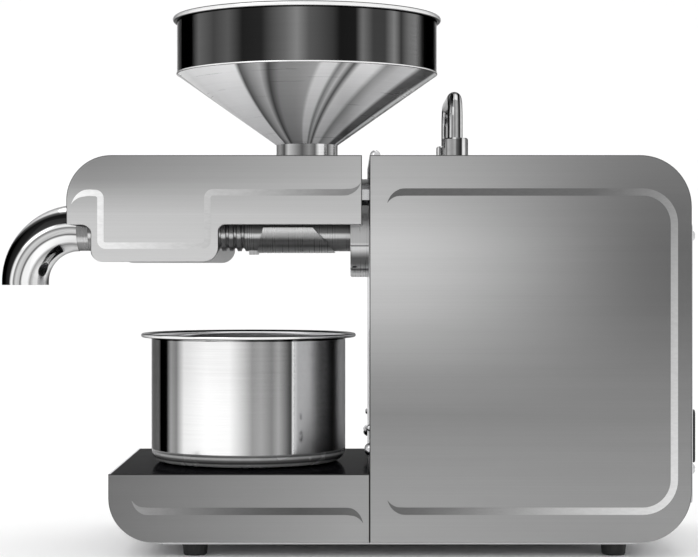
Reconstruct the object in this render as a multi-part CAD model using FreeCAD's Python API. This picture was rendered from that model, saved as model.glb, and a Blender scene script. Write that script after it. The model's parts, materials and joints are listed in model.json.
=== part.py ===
"""Household screw oil press, modelled as an assembly of separate parts.

Units are millimetres. +X points from the cake spout to the motor end, +Y from the front
plate to the back plate, +Z up. The origin is on the floor under the centre of the machine.
"""
import math
import os

import FreeCAD
import Part

V = FreeCAD.Vector
PARTS = "parts"

# ---- Driving dimensions -------------------------------------------------------------------
DEPTH = 170.0                  # front plate to back plate
HALF = DEPTH / 2
PLATE = 2.0                    # front and back plates
SHEET = 1.2                    # wrapped sheets and inner walls
PLATE_EDGE = 0.8               # rounding of the outer edge of a plate
FIT = 0.3                      # clearance between pieces that slide or turn

FOOT_H = 7.5
FOOT_X, FOOT_Y = (-87.0, 167.6), 68.0
PAN_T = 1.5
FLOOR_Z = FOOT_H + PAN_T       # underside of casing and drip base
TOP_Z = 242.0                  # top of casing and of press head

CASE_X0, CASE_X1 = 19.0, 212.5
CASE_CORNER = 31.0
BASE_X0 = -138.0
BASE_TOP = 50.3
BASE_CORNER = 27.0

HOOD_X0, HOOD_X1 = -163.2, 14.4
HOOD_CORNER = 27.0
HOOD_BAR_Z = 200.3             # lower edge of the head's long bar
TAB_X0, TAB_X1 = -148.6, -71.7
TAB_Z = 177.8                  # lower edge of the deep part round the heated zone

AXIS_Z = 200.0                 # press screw axis, at y = 0
BARREL_R = 15.0
BORE_R = 12.7
BARREL_X0, BARREL_X1 = -160.0, 17.0
FEED_X = -20.4                 # hopper axis

FLANGE_R = 31.5
FLANGE_X0 = 7.5
SNOUT_R = 24.0

SPOUT_R = 15.0
SPOUT_BEND = 34.6
SPOUT_WALL = 1.2
RING_LEN = 7.2

HOPPER_RIM_Z = 335.0
HOPPER_BAND_Z = 299.2
HOPPER_NECK_Z = 253.2
HOPPER_R = 83.4
HOPPER_BEAD = 1.7
HOPPER_RIM_R = 86.1
NECK_R = 19.7
HOPPER_SHEET = 1.0

POT_X = -58.0
POT_R = 62.3
POT_RIM_R = 69.0
POT_TOP = 132.6
POT_SHEET = 0.9
POT_CORNER = 9.0

HANDLE_X = 72.7
HANDLE_Y = 42.0
HANDLE_ROD = 4.6
HANDLE_TOP = 285.0
FERRULE_R = 8.0
FERRULE_H = 13.0

PANEL_Z0, PANEL_Z1 = 32.0, 202.0
PANEL_HALF = 79.0
PANEL_T = 1.5
PANEL_SCREW_Z = (52.5, 193.8)
SWITCH_Z = 180.0
SWITCH_Y = (-40.0, 0.0, 40.0)
SWITCH_NAMES = ("heat_rocker", "press_rocker", "clear_rocker")
ROCKER_TILT = 9.0
INLET_Y = -49.0
INLET_Z = 72.0
INLET_W, INLET_H = 48.0, 32.0

# Gear train: the motor drives a layshaft, which drives the press screw.
M1, TEETH_MOTOR, TEETH_LAY_BIG = 1.0, 14, 56
M2, TEETH_LAY_SMALL, TEETH_OUT = 1.25, 14, 46
LAY_Z = AXIS_Z - M2 * (TEETH_LAY_SMALL + TEETH_OUT) / 2
MOTOR_Z = LAY_Z - M1 * (TEETH_MOTOR + TEETH_LAY_BIG) / 2
PLATE_A_X = 46.0               # gearbox plate nearest the press
PLATE_B_X = 84.0               # gearbox plate that carries the motor
GEARBOX_PLATE = 6.0
OUT_GEAR_X0, OUT_GEAR_W = 55.0, 12.0
LAY_GEAR_X0, LAY_GEAR_W = 72.0, 8.0
MOTOR_R, MOTOR_LEN = 36.0, 74.0
FAN_X0, FAN_W, FAN_R = 180.0, 14.0, 34.0

# Press screw and the barrel's drainage rings
SCREW_X0, SCREW_X1 = -153.0, 12.0
SCREW_CORE_OUT, SCREW_CORE_IN = 8.6, 6.6
SCREW_PITCH, SCREW_LAND = 16.0, 3.2
FLIGHT_X0, FLIGHT_X1 = -150.0, 6.0
TAIL_R, TAIL_X1 = 5.6, 35.0
RING_COUNT, RING_PITCH = 7, 4.9
RINGS_X0 = -96.0
BARREL_END_R = 14.4            # the barrel where the head hides it

# Bearings, shafts and the frame that carries them
BEARING_R, BEARING_W = 17.5, 10.0
RACE_IN, RACE_OUT = 12.0, 12.2 # where the inner ring ends and the outer one starts
BEARING_X = (22.0, 33.0)
SHAFT_R = 8.5
LAY_R = 5.0
MOTOR_SHAFT_R = 4.0
MOTOR_X0 = PLATE_B_X + GEARBOX_PLATE
CRADLE_X0, CRADLE_X1 = 128.0, 146.0

# Fasteners that show
STANDOFF_Y, STANDOFF_Z = 58.0, 219.0
STANDOFF_R, STANDOFF_BOLT = 6.4, 2.5
TOP_SCREW_X, TOP_SCREW_Y = 22.4, 77.0
TOP_SCREW_R, TOP_SCREW_SHANK = 3.2, 1.6
WALL_SCREW_Y = 70.0
WALL_SCREWS = ((77.0, 2.2), (64.0, 4.0))          # height and head radius
GRUB_X, GRUB_R, GRUB_ANGLE = FLANGE_X0 + 2.8, 1.7, 54.0


# ---- Small helpers -------------------------------------------------------------------------
def along_x(shape, x, y, z):
    """A shape built up along +Z, turned to run along +X from (x, y, z)."""
    shape.rotate(V(0, 0, 0), V(0, 1, 0), 90)
    shape.translate(V(x, y, z))
    return shape


def box(x0, x1, y0, y1, z0, z1):
    """A block between two corners."""
    return Part.makeBox(x1 - x0, y1 - y0, z1 - z0, V(x0, y0, z0))


def rod_x(x0, x1, radius, y=0.0, z=AXIS_Z):
    """A round bar along X."""
    return Part.makeCylinder(radius, x1 - x0, V(x0, y, z), V(1, 0, 0))


def rod_y(y0, y1, radius, x, z):
    """A round bar along Y."""
    return Part.makeCylinder(radius, y1 - y0, V(x, y0, z), V(0, 1, 0))


def rod_z(z0, z1, radius, x, y=0.0):
    """A round bar along Z."""
    return Part.makeCylinder(radius, z1 - z0, V(x, y, z0))


def tube_x(x0, x1, outer, inner, y=0.0, z=AXIS_Z):
    """A round tube along X."""
    return rod_x(x0, x1, outer, y, z).cut(rod_x(x0 - 1, x1 + 1, inner, y, z))


def rounded_wire(corners, place):
    """A closed wire through (u, v, radius) corners. place(u, v) gives the 3-D point."""
    edges, ends = [], []
    count = len(corners)
    for i, (u, v, radius) in enumerate(corners):
        before, after = corners[i - 1], corners[(i + 1) % count]
        d0 = (before[0] - u, before[1] - v)
        d1 = (after[0] - u, after[1] - v)
        l0, l1 = math.hypot(*d0), math.hypot(*d1)
        d0, d1 = (d0[0] / l0, d0[1] / l0), (d1[0] / l1, d1[1] / l1)
        if radius == 0:
            ends.append(((u, v), None, (u, v)))
            continue
        half = math.acos(max(-1.0, min(1.0, d0[0] * d1[0] + d0[1] * d1[1]))) / 2
        run = radius / math.tan(half)
        start = (u + d0[0] * run, v + d0[1] * run)
        end = (u + d1[0] * run, v + d1[1] * run)
        bis = (d0[0] + d1[0], d0[1] + d1[1])
        length = math.hypot(*bis)
        reach = radius / math.sin(half) - radius
        mid = (u + bis[0] / length * reach, v + bis[1] / length * reach)
        ends.append((start, mid, end))
    for i, (start, mid, end) in enumerate(ends):
        if mid is not None:
            edges.append(Part.Arc(place(*start), place(*mid), place(*end)).toShape())
        following = ends[(i + 1) % count][0]
        if math.dist(end, following) > 1e-6:
            edges.append(Part.LineSegment(place(*end), place(*following)).toShape())
    return Part.Wire(edges)


def slab_y(corners, y0, y1):
    """An XZ outline with rounded corners, extruded along Y."""
    wire = rounded_wire(corners, lambda x, z: V(x, y0, z))
    return Part.Face(wire).extrude(V(0, y1 - y0, 0))


def slab_x(corners, x0, x1):
    """A YZ outline with rounded corners, extruded along X."""
    wire = rounded_wire(corners, lambda y, z: V(x0, y, z))
    return Part.Face(wire).extrude(V(x1 - x0, 0, 0))


def rounded_rect(u0, u1, v0, v1, radius):
    """Corners of a rectangle with one radius."""
    return [(u0, v0, radius), (u1, v0, radius), (u1, v1, radius), (u0, v1, radius)]


def turned_z(profile, x=0.0, y=0.0):
    """A closed (radius, z) profile turned about a vertical axis."""
    points = [V(r, 0, z) for r, z in profile]
    face = Part.Face(Part.makePolygon(points + points[:1]))
    solid = face.revolve(V(0, 0, 0), V(0, 0, 1), 360)
    solid.translate(V(x, y, 0))
    return solid


def turned_x(profile, z=AXIS_Z, y=0.0):
    """A closed (x, radius) profile turned about an axis along X."""
    points = [V(x, 0, r) for x, r in profile]
    face = Part.Face(Part.makePolygon(points + points[:1]))
    solid = face.revolve(V(0, 0, 0), V(1, 0, 0), 360)
    solid.translate(V(0, y, z))
    return solid


def fillet_where(solid, radius, wanted):
    """Rounds the edges that wanted(edge) picks."""
    edges = [e for e in solid.Edges if wanted(e)]
    return solid.makeFillet(radius, edges)


def on_y(edge, y):
    """True if the whole edge lies in the plane at y."""
    bounds = edge.BoundBox
    return abs(bounds.YMin - y) < 1e-4 and abs(bounds.YMax - y) < 1e-4


def face_plate(corners, outward):
    """A front or back plate: outward is -1 for the front and +1 for the back."""
    outer = HALF * outward
    inner = outer - PLATE * outward
    plate = slab_y(corners, min(outer, inner), max(outer, inner))
    return fillet_where(plate, PLATE_EDGE, lambda e: on_y(e, outer))


def dome_head(radius, height):
    """A pan head standing on z = 0, with its driver recess."""
    ball = (radius * radius + height * height) / (2 * height)
    head = Part.makeSphere(ball, V(0, 0, height - ball))
    head = head.common(rod_z(0, height + 1, radius, 0))
    slot_w = radius * 0.36
    slot_l = radius * 1.1
    for wide, deep in ((slot_l, slot_w), (slot_w, slot_l)):
        head = head.cut(box(-wide / 2, wide / 2, -deep / 2, deep / 2, height * 0.45, height + 1))
    return head


def screw(position, direction, head_r, head_h, shank_r, shank_l):
    """A pan-head screw whose head stands on position and points along direction."""
    piece = dome_head(head_r, head_h).fuse(rod_z(-shank_l, 0.0, shank_r, 0))
    turn = FreeCAD.Rotation(V(0, 0, 1), V(*direction))
    piece.Placement = FreeCAD.Placement(V(*position), turn)
    return piece


def save(name, shapes):
    """Writes one node as a STEP file, checking that each solid is sound."""
    shapes = shapes if isinstance(shapes, list) else [shapes]
    solids = [s for shape in shapes for s in shape.Solids]
    for solid in solids:
        if not solid.isValid() or solid.Volume <= 0:
            print("UNSOUND", name, solid.Volume)
    whole = solids[0] if len(solids) == 1 else Part.makeCompound(solids)
    whole.exportStep(os.path.join(PARTS, name + ".step"))
    bounds = whole.BoundBox
    print("%-24s %2d  x %7.1f %7.1f  y %6.1f %6.1f  z %6.1f %6.1f" % (
        name, len(solids), bounds.XMin, bounds.XMax, bounds.YMin, bounds.YMax,
        bounds.ZMin, bounds.ZMax))


# ---- Casing and drip base ------------------------------------------------------------------
def casing_corners(inset=0.0):
    """Outline of the motor casing seen from the front."""
    x0, x1 = CASE_X0 + inset, CASE_X1 - inset
    z0, z1 = FLOOR_Z + inset, TOP_Z - inset
    radius = CASE_CORNER - inset
    return [(x0, z0, 0), (x1, z0, radius), (x1, z1, radius), (x0, z1, 0)]


def casing():
    """Two face plates, a wrapped sheet with its service opening, and the press-side wall."""
    save("casing_front_plate", face_plate(casing_corners(), -1))
    save("casing_back_plate", face_plate(casing_corners(), 1))
    inner = HALF - PLATE
    outside = slab_y(casing_corners(), -inner, inner)
    inside = slab_y(casing_corners(SHEET), -inner - 1, inner + 1)
    wrap = outside.cut(inside)
    wrap = wrap.cut(box(CASE_X0 - 1, CASE_X0 + SHEET, -HALF, HALF, 0, TOP_Z - SHEET))
    margin = 9.0
    wrap = wrap.cut(box(CASE_X1 - 5, CASE_X1 + 1, -PANEL_HALF + margin, PANEL_HALF - margin,
                        PANEL_Z0 + margin, PANEL_Z1 - margin))
    for y in (-HANDLE_Y, HANDLE_Y):
        wrap = wrap.cut(rod_z(TOP_Z - 5, TOP_Z + 1, HANDLE_ROD - 1.0, HANDLE_X, y))
    save("casing_wrap", wall_screw_holes(wrap))
    wall = box(CASE_X0, CASE_X0 + SHEET, -inner, inner, FLOOR_Z, TOP_Z - SHEET)
    wall = wall.cut(rod_x(CASE_X0 - 1, CASE_X0 + 5, SNOUT_R + FIT))
    save("press_side_wall", wall_screw_holes(wall))


def base_corners(inset=0.0):
    """Outline of the drip base seen from the front."""
    return [(BASE_X0 + inset, FLOOR_Z + inset, BASE_CORNER - inset), (CASE_X0, FLOOR_Z + inset, 0),
            (CASE_X0, BASE_TOP, 0), (BASE_X0 + inset, BASE_TOP, 0)]


def drip_base():
    """The low box under the press head, with its black top plate."""
    save("base_front_plate", face_plate(base_corners(), -1))
    save("base_back_plate", face_plate(base_corners(), 1))
    inner = HALF - PLATE
    wrap = slab_y(base_corners(), -inner, inner)
    hollow = base_corners(SHEET)
    hollow[2] = (CASE_X0 + 1, BASE_TOP + 1, 0)
    hollow[1] = (CASE_X0 + 1, FLOOR_Z + SHEET, 0)
    hollow[3] = (BASE_X0 + SHEET, BASE_TOP + 1, 0)
    wrap = wrap.cut(slab_y(hollow, -inner - 1, inner + 1))
    save("base_wrap", wrap)
    top = box(BASE_X0 + SHEET, CASE_X0, -inner, inner, BASE_TOP - 3.0, BASE_TOP)
    save("drip_plate", top)


def underside():
    """The pan that ties base and casing together, and the rubber feet."""
    radius = 12.0
    pan = Part.Face(rounded_wire(
        rounded_rect(BASE_X0 + 26, CASE_X1 - 28, -HALF + 6, HALF - 6, radius),
        lambda x, y: V(x, y, FOOT_H))).extrude(V(0, 0, PAN_T))
    tread_r, foot_r = 6.6, 8.0
    recess_r, recess_top = 3.8, 3.0
    head_r, head_z, screw_r = 3.4, 1.2, 2.0
    feet, screws = [], []
    for x in FOOT_X:
        for y in (-FOOT_Y, FOOT_Y):
            foot = turned_z([(0, 0), (tread_r, 0), (tread_r + 0.6, 0.8), (foot_r, FOOT_H), (0, FOOT_H)], x, y)
            foot = foot.cut(rod_z(-1, recess_top, recess_r, x, y))
            feet.append(foot.cut(rod_z(0, FOOT_H + 1, screw_r, x, y)))
            pan = pan.cut(rod_z(FOOT_H - 1, FLOOR_Z + 1, screw_r, x, y))
            shank = rod_z(head_z, FLOOR_Z, screw_r, x, y)
            screws.append(shank.fuse(rod_z(head_z, recess_top, head_r, x, y)))
    save("bottom_pan", pan)
    save("rubber_feet", feet)
    return screws


def carry_handle():
    """A bent rod handle with two ferrules, held by nuts under the top sheet."""
    bend = 13.0
    top = HANDLE_TOP - HANDLE_ROD
    short = bend * (1 - math.cos(math.pi / 4))

    def point(y, z):
        """A point in the handle's upright plane."""
        return V(HANDLE_X, y, z)

    front_bend = Part.Arc(point(-HANDLE_Y, top - bend), point(-HANDLE_Y + short, top - short),
                          point(-HANDLE_Y + bend, top))
    back_bend = Part.Arc(point(HANDLE_Y - bend, top), point(HANDLE_Y - short, top - short),
                         point(HANDLE_Y, top - bend))
    path = Part.Wire([piece.toShape() for piece in (
        Part.LineSegment(point(-HANDLE_Y, TOP_Z), point(-HANDLE_Y, top - bend)),
        front_bend,
        Part.LineSegment(point(-HANDLE_Y + bend, top), point(HANDLE_Y - bend, top)),
        back_bend,
        Part.LineSegment(point(HANDLE_Y, top - bend), point(HANDLE_Y, TOP_Z)))])
    start = Part.Wire([Part.makeCircle(HANDLE_ROD, V(HANDLE_X, -HANDLE_Y, TOP_Z), V(0, 0, 1))])
    rod = path.makePipeShell([start], True, True)
    ferrules, nuts = [], []
    stud_r, nut_r, nut_h = HANDLE_ROD - 1.2, 7.0, 5.0
    for y in (-HANDLE_Y, HANDLE_Y):
        ferrule = turned_z([(HANDLE_ROD, TOP_Z), (FERRULE_R, TOP_Z), (FERRULE_R, TOP_Z + FERRULE_H - 0.8),
                            (FERRULE_R - 0.8, TOP_Z + FERRULE_H), (HANDLE_ROD, TOP_Z + FERRULE_H)],
                           HANDLE_X, y)
        ferrules.append(ferrule)
        rod = rod.fuse(rod_z(TOP_Z - SHEET - nut_h - 2, TOP_Z + 1, stud_r, HANDLE_X, y))
        nut = hexagon(nut_r, nut_h).cut(rod_z(-1, nut_h + 1, stud_r, 0))
        nut.translate(V(HANDLE_X, y, TOP_Z - SHEET - nut_h))
        nuts.append(nut)
    save("carry_handle", rod.removeSplitter())
    save("handle_ferrules", ferrules)
    return nuts


def hexagon(radius, height):
    """A hexagonal block standing on z = 0; radius is to its corners."""
    points = [V(radius * math.cos(math.radians(60 * i)), radius * math.sin(math.radians(60 * i)), 0)
              for i in range(6)]
    return Part.Face(Part.makePolygon(points + points[:1])).extrude(V(0, 0, height))


def end_panel():
    """The service panel at the motor end, with vents, switches and the mains inlet."""
    panel = slab_x(rounded_rect(-PANEL_HALF, PANEL_HALF, PANEL_Z0, PANEL_Z1, 5.0),
                   CASE_X1, CASE_X1 + PANEL_T)
    x0, x1 = CASE_X1 - 1, CASE_X1 + PANEL_T + 1
    vent_r, vent_w, vent_pitch = 33.0, 3.2, 7.0
    for i in range(-4, 5):
        offset = i * vent_pitch
        reach = math.sqrt(vent_r ** 2 - offset ** 2)
        z = MOTOR_Z + offset
        slot = slab_x(rounded_rect(-reach, reach, z - vent_w / 2, z + vent_w / 2, vent_w * 0.49), x0, x1)
        panel = panel.cut(slot)
    for y in SWITCH_Y:
        panel = panel.cut(box(x0, x1, y - 6.7, y + 6.7, SWITCH_Z - 9.6, SWITCH_Z + 9.6))
    inlet_y, inlet_z = INLET_W / 2 - 9.0, INLET_H / 2 - 4.0
    panel = panel.cut(box(x0, x1, INLET_Y - inlet_y, INLET_Y + inlet_y, INLET_Z - inlet_z, INLET_Z + inlet_z))
    heads = []
    for y in (-PANEL_HALF + 6, PANEL_HALF - 6):
        for z in PANEL_SCREW_Z:
            heads.append(screw((CASE_X1 + PANEL_T, y, z), (1, 0, 0), 3.8, 2.7, 1.6, PANEL_T))
            panel = panel.cut(rod_x(x0, x1, 1.6, y, z))
    save("end_panel", panel)
    save("end_panel_screws", heads)
    face = CASE_X1 + PANEL_T
    inlet = slab_x(rounded_rect(INLET_Y - INLET_W / 2, INLET_Y + INLET_W / 2,
                                INLET_Z - INLET_H / 2, INLET_Z + INLET_H / 2, 3.0), face, face + 2.6)
    inlet = inlet.fuse(box(face - 22, face, INLET_Y - inlet_y, INLET_Y + inlet_y,
                           INLET_Z - inlet_z, INLET_Z + inlet_z))
    mouth = [(INLET_Y - 12, INLET_Z - 8, 1.0), (INLET_Y + 12, INLET_Z - 8, 1.0),
             (INLET_Y + 12, INLET_Z + 4, 1.0), (INLET_Y + 8, INLET_Z + 8, 1.0),
             (INLET_Y - 8, INLET_Z + 8, 1.0), (INLET_Y - 12, INLET_Z + 4, 1.0)]
    inlet = inlet.cut(slab_x(mouth, face - 18, face + 5))
    pins = [box(face - 18.5, face - 3, INLET_Y + dy - 1, INLET_Y + dy + 1, INLET_Z + dz - 2, INLET_Z + dz + 2)
            for dy, dz in ((-7, -2), (7, -2), (0, 3))]
    for pin in pins:
        inlet = inlet.cut(pin)
    save("mains_inlet", inlet)
    save("inlet_pins", pins)


def switches():
    """Three rocker switches: housings on the panel and one rocker each."""
    face = CASE_X1 + PANEL_T
    housings = []
    pivot_x = face - 1.6
    for y in SWITCH_Y:
        collar = rounded_rect(y - 7.6, y + 7.6, SWITCH_Z - 10.6, SWITCH_Z + 10.6, 1.5)
        shell = slab_x(collar, face, face + 1.8)
        shell = shell.fuse(box(face - 15, face, y - 6.6, y + 6.6, SWITCH_Z - 9.5, SWITCH_Z + 9.5))
        shell = shell.cut(box(face - 9, face + 3, y - 5.4, y + 5.4, SWITCH_Z - 8.2, SWITCH_Z + 8.2))
        shell = shell.cut(rod_y(y - 6.2, y + 6.2, 1.1, pivot_x, SWITCH_Z))
        housings.append(shell)
    save("switch_housings", housings)
    for y, name in zip(SWITCH_Y, SWITCH_NAMES):
        rise = 3.6
        half_len = 7.4
        outline = [(pivot_x - 2.2, SWITCH_Z - half_len, 0.5), (pivot_x + rise, SWITCH_Z - half_len, 0.8),
                   (pivot_x + rise - 1.3, SWITCH_Z, 4.0), (pivot_x + rise, SWITCH_Z + half_len, 0.8),
                   (pivot_x - 2.2, SWITCH_Z + half_len, 0.5), (pivot_x - 5.0, SWITCH_Z, 2.0)]
        rocker = slab_y(outline, y - 5.0, y + 5.0).fuse(
            rod_y(y - 6.0, y + 6.0, 1.0, pivot_x, SWITCH_Z))
        rocker.rotate(V(pivot_x, y, SWITCH_Z), V(0, 1, 0), -ROCKER_TILT)
        save(name, rocker)


# ---- Press head ----------------------------------------------------------------------------
def head_corners():
    """Outline of the head's face plates: a long bar with a deeper part round the heated zone."""
    notch = 5.5
    return [(HOOD_X0, HOOD_BAR_Z, 0), (TAB_X0, HOOD_BAR_Z, notch), (TAB_X0, TAB_Z, 7.0),
            (TAB_X1, TAB_Z, 9.0), (TAB_X1, HOOD_BAR_Z, 4.0), (HOOD_X1, HOOD_BAR_Z, 0),
            (HOOD_X1, TOP_Z, 0), (HOOD_X0, TOP_Z, HOOD_CORNER)]


def press_head():
    """The sheet-metal hood over barrel and heater: two face plates and one wrapped sheet."""
    save("head_front_plate", face_plate(head_corners(), -1))
    save("head_back_plate", face_plate(head_corners(), 1))
    inner = HALF - PLATE
    outside = slab_y([(HOOD_X0, HOOD_BAR_Z, 0), (HOOD_X1, HOOD_BAR_Z, 0), (HOOD_X1, TOP_Z, 0),
                      (HOOD_X0, TOP_Z, HOOD_CORNER)], -inner, inner)
    low = HOOD_BAR_Z - 1
    inside = slab_y([(HOOD_X0 + SHEET, low, 0), (HOOD_X1 - SHEET, low, 0),
                     (HOOD_X1 - SHEET, TOP_Z - SHEET, 0),
                     (HOOD_X0 + SHEET, TOP_Z - SHEET, HOOD_CORNER - SHEET)], -inner - 1, inner + 1)
    split = box(HOOD_X1 - SHEET, HOOD_X1 + 1, -HALF, HALF, low, TOP_Z + 1)
    wrap = outside.cut(inside).cut(split)
    end_wall = outside.common(split).cut(rod_x(HOOD_X1 - 5, HOOD_X1 + 1, FLANGE_R + 1.0))
    wrap = wrap.cut(rod_x(HOOD_X0 - 1, HOOD_X0 + 5, SPOUT_R + 1.0))
    wrap = wrap.cut(rod_z(TOP_Z - 5, TOP_Z + 1, NECK_R + FIT, FEED_X))
    spacers, bolts = [], []
    for y in (-STANDOFF_Y, STANDOFF_Y):
        z = STANDOFF_Z
        end_wall = end_wall.cut(rod_x(HOOD_X1 - 5, HOOD_X1 + 1, STANDOFF_BOLT, y, z))
        spacer = along_x(hexagon(STANDOFF_R, CASE_X0 - HOOD_X1), HOOD_X1, y, z)
        spacers.append(spacer.cut(rod_x(HOOD_X1 - 1, CASE_X0 + 1, STANDOFF_BOLT, y, z)))
        bolts.append(rod_x(HOOD_X1 - SHEET, CASE_X0, STANDOFF_BOLT, y, z).fuse(
            rod_x(HOOD_X1 - SHEET - 3.0, HOOD_X1 - SHEET, 4.5, y, z)))
    save("head_wrap", wrap)
    save("head_end_wall", end_wall)
    save("head_spacers", spacers)
    return bolts


def feed_chute():
    """The cast chute that leads from the hopper neck down to the slot in the barrel."""
    seat_z = TOP_Z - 16.0
    throat_z = AXIS_Z + BARREL_R - 2.0
    lid_z = TOP_Z - SHEET
    stem_r, collar_r, throat_r = 23.0, 30.0, 8.0
    outer = turned_z([(0, AXIS_Z + 6), (stem_r, AXIS_Z + 6), (stem_r, lid_z - 3), (collar_r, lid_z - 3),
                      (collar_r, lid_z), (0, lid_z)], FEED_X)
    bore = turned_z([(0, throat_z - 12), (throat_r, throat_z - 12), (throat_r, throat_z), (17.5, seat_z),
                     (NECK_R + FIT, seat_z), (NECK_R + FIT, TOP_Z + 1), (0, TOP_Z + 1)], FEED_X)
    chute = outer.cut(bore).cut(rod_x(FEED_X - 40, FEED_X + 40, BARREL_R + FIT))
    save("feed_chute", chute)


def heater():
    """An aluminium saddle over the barrel with two cartridge heaters, and its thermostat."""
    x0, x1 = -143.0, -82.0
    low, top, half = AXIS_Z + 0.5, 229.0, 24.0
    rod_r, rod_high = 4.0, 221.0
    block = slab_x([(-half, low, 0), (half, low, 0), (half, top, 8), (-half, top, 8)], x0, x1)
    saddle = block.cut(rod_x(x0 - 1, x1 + 1, BARREL_R + FIT))
    rods = []
    for y in (-13.0, 13.0):
        saddle = saddle.cut(rod_x(x0 - 1, x1 + 1, rod_r, y, rod_high))
        rods.append(rod_x(x0 - 4, x1 - 3, rod_r, y, rod_high))
    posts = [rod_z(top, TOP_Z - SHEET, 5.0, x) for x in (x0 + 11, x1 - 11)]
    save("heater_saddle", saddle.fuse(posts))
    save("heater_cartridges", rods)
    middle = (x0 + x1) / 2
    cup = rod_z(top, top + 6.0, 8.0, middle)
    save("thermostat", cup.fuse(rod_z(top + 6.0, top + 9.0, 3.5, middle)))


# ---- Press barrel with oil guard and cake spout -------------------------------------------
def barrel_profile():
    """Half section of the barrel: a plain tube with drainage rings beside the heated zone."""
    root, flat, slope = 13.2, 2.4, 0.7
    outline = [(BARREL_X0, BORE_R), (BARREL_X0, BARREL_END_R), (RINGS_X0, BARREL_END_R), (RINGS_X0, root)]
    for i in range(RING_COUNT):
        x = RINGS_X0 + 1.0 + i * RING_PITCH
        crest = x + slope
        outline += [(x, root), (crest, BARREL_R), (crest + flat, BARREL_R), (crest + flat + slope, root)]
    end = RINGS_X0 + 1.0 + RING_COUNT * RING_PITCH
    outline += [(end, root), (end + 0.9, BARREL_R), (BARREL_X1, BARREL_R), (BARREL_X1, BORE_R)]
    return outline


def barrel():
    """The barrel: bore, feed slot on top and drainage slots below the rings."""
    body = turned_x(barrel_profile())
    slot = slab_x(rounded_rect(-7.0, 7.0, AXIS_Z + 2, AXIS_Z + 30, 3.0), FEED_X - 10, FEED_X + 10)
    body = body.cut(slot)
    x0, x1 = RINGS_X0 + 2.0, RINGS_X0 + RING_COUNT * RING_PITCH
    half = 0.6
    for angle in (-30.0, 0.0, 30.0):
        drain = box(x0, x1, -half, half, AXIS_Z - BARREL_R - 1, AXIS_Z - BORE_R + 1)
        drain.rotate(V(0, 0, AXIS_Z), V(1, 0, 0), angle)
        body = body.cut(drain)
    save("press_barrel", body)


def oil_guard():
    """A half sleeve under the barrel, cut on the slant at both ends, with a drip nib."""
    outer = BARREL_R + 1.1
    sleeve = tube_x(-56.0, 0.0, outer, BARREL_R)
    side = [(-52.6, AXIS_Z - outer - 1, 0), (-1.0, AXIS_Z - outer - 1, 0), (-16.6, AXIS_Z, 0),
            (-48.0, AXIS_Z, 0)]
    guard = sleeve.common(slab_y(side, -outer - 1, outer + 1))
    nib = box(-57.6, -51.4, -4.0, 4.0, AXIS_Z - BARREL_R - 2.2, AXIS_Z - BARREL_R + 1.5)
    guard = guard.fuse(nib.cut(rod_x(-60, -50, BARREL_R)))
    save("oil_guard", guard.removeSplitter())


def cake_spout():
    """The ring that closes the barrel and the polished elbow that drops the pressed cake."""
    ring_x0 = BARREL_X0 - RING_LEN
    ring = tube_x(ring_x0, BARREL_X0, SPOUT_R - 0.3, 11.9)
    save("cake_ring", ring)
    center = V(ring_x0, 0, AXIS_Z - SPOUT_BEND)
    tail = 2.0
    shells = []
    for radius in (SPOUT_R, SPOUT_R - SPOUT_WALL):
        disc = Part.Face(Part.Wire([Part.makeCircle(radius, V(ring_x0, 0, AXIS_Z), V(1, 0, 0))]))
        bend = disc.revolve(center, V(0, 1, 0), -90)
        end = Part.makeCylinder(radius, tail, V(ring_x0 - SPOUT_BEND, 0, AXIS_Z - SPOUT_BEND - tail))
        shells.append(bend.fuse(end))
    elbow = shells[0].cut(shells[1])
    save("cake_spout", elbow.removeSplitter())


# ---- Press screw and bearing housing -------------------------------------------------------
def press_screw():
    """The worm: a core that thickens towards the spout, one helical flight, and a hex tail."""
    flight_r = BORE_R - FIT
    tip_w, root_w = SCREW_LAND, SCREW_LAND + 1.6
    core = turned_x([(SCREW_X0, 0), (SCREW_X0, SCREW_CORE_OUT), (SCREW_X1, SCREW_CORE_IN), (SCREW_X1, 0)])
    helix = Part.makeHelix(SCREW_PITCH, FLIGHT_X1 - FLIGHT_X0, flight_r)
    sunk = SCREW_CORE_IN - 1.5
    corners = [V(sunk, 0, -root_w / 2), V(flight_r, 0, -tip_w / 2), V(flight_r, 0, tip_w / 2),
               V(sunk, 0, root_w / 2)]
    section = Part.makePolygon(corners + corners[:1])
    flight = Part.Wire(helix).makePipeShell([section], True, True)
    flight.rotate(V(0, 0, 0), V(0, 1, 0), 90)
    flight.translate(V(FLIGHT_X0, 0, AXIS_Z))
    nose = turned_x([(SCREW_X0 - 5, 0), (SCREW_X0 - 5, SCREW_CORE_OUT - 3.5), (SCREW_X0, SCREW_CORE_OUT),
                     (SCREW_X0, 0)])
    tail = along_x(hexagon(TAIL_R, TAIL_X1 - SCREW_X1), SCREW_X1, 0, AXIS_Z)
    save("press_screw", core.fuse(flight).fuse([nose, tail]))


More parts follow.
